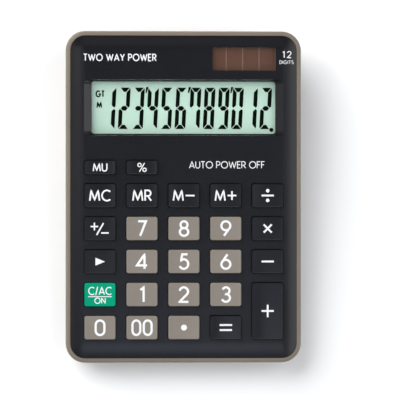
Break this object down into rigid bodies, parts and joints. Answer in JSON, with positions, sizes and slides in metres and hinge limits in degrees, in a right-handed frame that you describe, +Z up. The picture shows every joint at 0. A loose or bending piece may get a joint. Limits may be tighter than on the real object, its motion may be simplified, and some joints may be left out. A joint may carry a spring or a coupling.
{
  "type": "pocket calculator",
  "caption": "Twelve-digit pocket calculator for the desk: black face with travelling keys and sloping display, taupe tray casing, solar cell, button cell and sliding battery door.",
  "frame": {"origin": "on the desk, under the middle of the casing's outline", "axes": "+Y from the keys towards the display, +Z up, +X to the right of somebody who uses it"},
  "size_m": [0.103, 0.1446, 0.0258],
  "materials": {
    "black_casing": "fine satin, near-black",
    "taupe_casing": "satin taupe",
    "black_key": "satin near-black, white printed legend",
    "grey_key": "satin warm grey, white printed legend",
    "green_key": "satin green, white printed legend",
    "clear_window": "clear acrylic",
    "polariser": "pale polarising film",
    "display_glass": "clear display glass",
    "display_reflector": "pale green reflector film",
    "dark_plastic": "black moulded plastic",
    "ribbon": "amber heat-seal film",
    "solar_cell": "brown amorphous silicon on glass",
    "lead_insulation": "PVC insulation, one red and one black lead",
    "mat_rubber": "pale silicone rubber",
    "board": "green circuit board",
    "chip_resin": "black resin drop",
    "capacitor_sleeve": "blue sleeve",
    "screw_steel": "plain steel",
    "black_screw": "blackened steel",
    "cell_steel": "bright nickel-plated steel",
    "contact_metal": "nickel-plated spring strip",
    "foot_rubber": "black rubber"
  },
  "bodies": {
    "casing": {"upper_casing": "black_casing", "lower_casing": "taupe_casing", "display_window": "clear_window", "lcd_front_polariser": "polariser", "lcd_front_glass": "display_glass", "lcd_rear_glass": "display_glass", "lcd_reflector": "display_reflector", "lcd_retainer": "dark_plastic", "lcd_ribbon": "ribbon", "solar_window": "clear_window", "solar_cell": "solar_cell", "solar_leads": "lead_insulation", "key_mat": "mat_rubber", "circuit_board": "board", "chip_cover": "chip_resin", "storage_capacitor": "capacitor_sleeve", "inner_screws": "screw_steel", "case_screws": "black_screw", "battery_cell": "cell_steel", "battery_contact_positive": "contact_metal", "battery_contact_negative": "contact_metal", "battery_leads": "lead_insulation", "foot_front_left": "foot_rubber", "foot_front_right": "foot_rubber", "foot_rear_left": "foot_rubber", "foot_rear_right": "foot_rubber"},
    "key_0": {"key_0": "grey_key"},
    "key_00": {"key_00": "grey_key"},
    "key_point": {"key_point": "grey_key"},
    "key_equals": {"key_equals": "black_key"},
    "key_plus": {"key_plus": "black_key"},
    "key_clear": {"key_clear": "green_key"},
    "key_1": {"key_1": "grey_key"},
    "key_2": {"key_2": "grey_key"},
    "key_3": {"key_3": "grey_key"},
    "key_backspace": {"key_backspace": "black_key"},
    "key_4": {"key_4": "grey_key"},
    "key_5": {"key_5": "grey_key"},
    "key_6": {"key_6": "grey_key"},
    "key_minus": {"key_minus": "black_key"},
    "key_sign": {"key_sign": "black_key"},
    "key_7": {"key_7": "grey_key"},
    "key_8": {"key_8": "grey_key"},
    "key_9": {"key_9": "grey_key"},
    "key_multiply": {"key_multiply": "black_key"},
    "key_mc": {"key_mc": "black_key"},
    "key_mr": {"key_mr": "black_key"},
    "key_m_minus": {"key_m_minus": "black_key"},
    "key_m_plus": {"key_m_plus": "black_key"},
    "key_divide": {"key_divide": "black_key"},
    "key_mu": {"key_mu": "black_key"},
    "key_percent": {"key_percent": "black_key"},
    "battery_door": {"battery_door": "taupe_casing"}
  },
  "joints": [
    {"name": "key_0_press", "type": "slide", "parent": "casing", "child": "key_0", "axis": [0, 0.0958, -0.9954], "range_m": [0, 0.0014], "stiffness_N_per_m": 400, "springref_m": -0.001, "deforming": ["key_mat"]},
    {"name": "key_00_press", "type": "slide", "parent": "casing", "child": "key_00", "axis": [0, 0.0958, -0.9954], "range_m": [0, 0.0014], "stiffness_N_per_m": 400, "springref_m": -0.001, "deforming": ["key_mat"]},
    {"name": "key_point_press", "type": "slide", "parent": "casing", "child": "key_point", "axis": [0, 0.0958, -0.9954], "range_m": [0, 0.0014], "stiffness_N_per_m": 400, "springref_m": -0.001, "deforming": ["key_mat"]},
    {"name": "key_equals_press", "type": "slide", "parent": "casing", "child": "key_equals", "axis": [0, 0.0958, -0.9954], "range_m": [0, 0.0014], "stiffness_N_per_m": 400, "springref_m": -0.001, "deforming": ["key_mat"]},
    {"name": "key_plus_press", "type": "slide", "parent": "casing", "child": "key_plus", "axis": [0, 0.0958, -0.9954], "range_m": [0, 0.0014], "stiffness_N_per_m": 400, "springref_m": -0.001, "deforming": ["key_mat"]},
    {"name": "key_clear_press", "type": "slide", "parent": "casing", "child": "key_clear", "axis": [0, 0.0958, -0.9954], "range_m": [0, 0.0014], "stiffness_N_per_m": 400, "springref_m": -0.001, "deforming": ["key_mat"]},
    {"name": "key_1_press", "type": "slide", "parent": "casing", "child": "key_1", "axis": [0, 0.0958, -0.9954], "range_m": [0, 0.0014], "stiffness_N_per_m": 400, "springref_m": -0.001, "deforming": ["key_mat"]},
    {"name": "key_2_press", "type": "slide", "parent": "casing", "child": "key_2", "axis": [0, 0.0958, -0.9954], "range_m": [0, 0.0014], "stiffness_N_per_m": 400, "springref_m": -0.001, "deforming": ["key_mat"]},
    {"name": "key_3_press", "type": "slide", "parent": "casing", "child": "key_3", "axis": [0, 0.0958, -0.9954], "range_m": [0, 0.0014], "stiffness_N_per_m": 400, "springref_m": -0.001, "deforming": ["key_mat"]},
    {"name": "key_backspace_press", "type": "slide", "parent": "casing", "child": "key_backspace", "axis": [0, 0.0958, -0.9954], "range_m": [0, 0.0014], "stiffness_N_per_m": 400, "springref_m": -0.001, "deforming": ["key_mat"]},
    {"name": "key_4_press", "type": "slide", "parent": "casing", "child": "key_4", "axis": [0, 0.0958, -0.9954], "range_m": [0, 0.0014], "stiffness_N_per_m": 400, "springref_m": -0.001, "deforming": ["key_mat"]},
    {"name": "key_5_press", "type": "slide", "parent": "casing", "child": "key_5", "axis": [0, 0.0958, -0.9954], "range_m": [0, 0.0014], "stiffness_N_per_m": 400, "springref_m": -0.001, "deforming": ["key_mat"]},
    {"name": "key_6_press", "type": "slide", "parent": "casing", "child": "key_6", "axis": [0, 0.0958, -0.9954], "range_m": [0, 0.0014], "stiffness_N_per_m": 400, "springref_m": -0.001, "deforming": ["key_mat"]},
    {"name": "key_minus_press", "type": "slide", "parent": "casing", "child": "key_minus", "axis": [0, 0.0958, -0.9954], "range_m": [0, 0.0014], "stiffness_N_per_m": 400, "springref_m": -0.001, "deforming": ["key_mat"]},
    {"name": "key_sign_press", "type": "slide", "parent": "casing", "child": "key_sign", "axis": [0, 0.0958, -0.9954], "range_m": [0, 0.0014], "stiffness_N_per_m": 400, "springref_m": -0.001, "deforming": ["key_mat"]},
    {"name": "key_7_press", "type": "slide", "parent": "casing", "child": "key_7", "axis": [0, 0.0958, -0.9954], "range_m": [0, 0.0014], "stiffness_N_per_m": 400, "springref_m": -0.001, "deforming": ["key_mat"]},
    {"name": "key_8_press", "type": "slide", "parent": "casing", "child": "key_8", "axis": [0, 0.0958, -0.9954], "range_m": [0, 0.0014], "stiffness_N_per_m": 400, "springref_m": -0.001, "deforming": ["key_mat"]},
    {"name": "key_9_press", "type": "slide", "parent": "casing", "child": "key_9", "axis": [0, 0.0958, -0.9954], "range_m": [0, 0.0014], "stiffness_N_per_m": 400, "springref_m": -0.001, "deforming": ["key_mat"]},
    {"name": "key_multiply_press", "type": "slide", "parent": "casing", "child": "key_multiply", "axis": [0, 0.0958, -0.9954], "range_m": [0, 0.0014], "stiffness_N_per_m": 400, "springref_m": -0.001, "deforming": ["key_mat"]},
    {"name": "key_mc_press", "type": "slide", "parent": "casing", "child": "key_mc", "axis": [0, 0.0958, -0.9954], "range_m": [0, 0.0014], "stiffness_N_per_m": 400, "springref_m": -0.001, "deforming": ["key_mat"]},
    {"name": "key_mr_press", "type": "slide", "parent": "casing", "child": "key_mr", "axis": [0, 0.0958, -0.9954], "range_m": [0, 0.0014], "stiffness_N_per_m": 400, "springref_m": -0.001, "deforming": ["key_mat"]},
    {"name": "key_m_minus_press", "type": "slide", "parent": "casing", "child": "key_m_minus", "axis": [0, 0.0958, -0.9954], "range_m": [0, 0.0014], "stiffness_N_per_m": 400, "springref_m": -0.001, "deforming": ["key_mat"]},
    {"name": "key_m_plus_press", "type": "slide", "parent": "casing", "child": "key_m_plus", "axis": [0, 0.0958, -0.9954], "range_m": [0, 0.0014], "stiffness_N_per_m": 400, "springref_m": -0.001, "deforming": ["key_mat"]},
    {"name": "key_divide_press", "type": "slide", "parent": "casing", "child": "key_divide", "axis": [0, 0.0958, -0.9954], "range_m": [0, 0.0014], "stiffness_N_per_m": 400, "springref_m": -0.001, "deforming": ["key_mat"]},
    {"name": "key_mu_press", "type": "slide", "parent": "casing", "child": "key_mu", "axis": [0, 0.0958, -0.9954], "range_m": [0, 0.0014], "stiffness_N_per_m": 400, "springref_m": -0.001, "deforming": ["key_mat"]},
    {"name": "key_percent_press", "type": "slide", "parent": "casing", "child": "key_percent", "axis": [0, 0.0958, -0.9954], "range_m": [0, 0.0014], "stiffness_N_per_m": 400, "springref_m": -0.001, "deforming": ["key_mat"]},
    {"name": "battery_door_slide", "type": "slide", "parent": "casing", "child": "battery_door", "axis": [0, 1, 0], "range_m": [0, 0.024]}
  ]
}
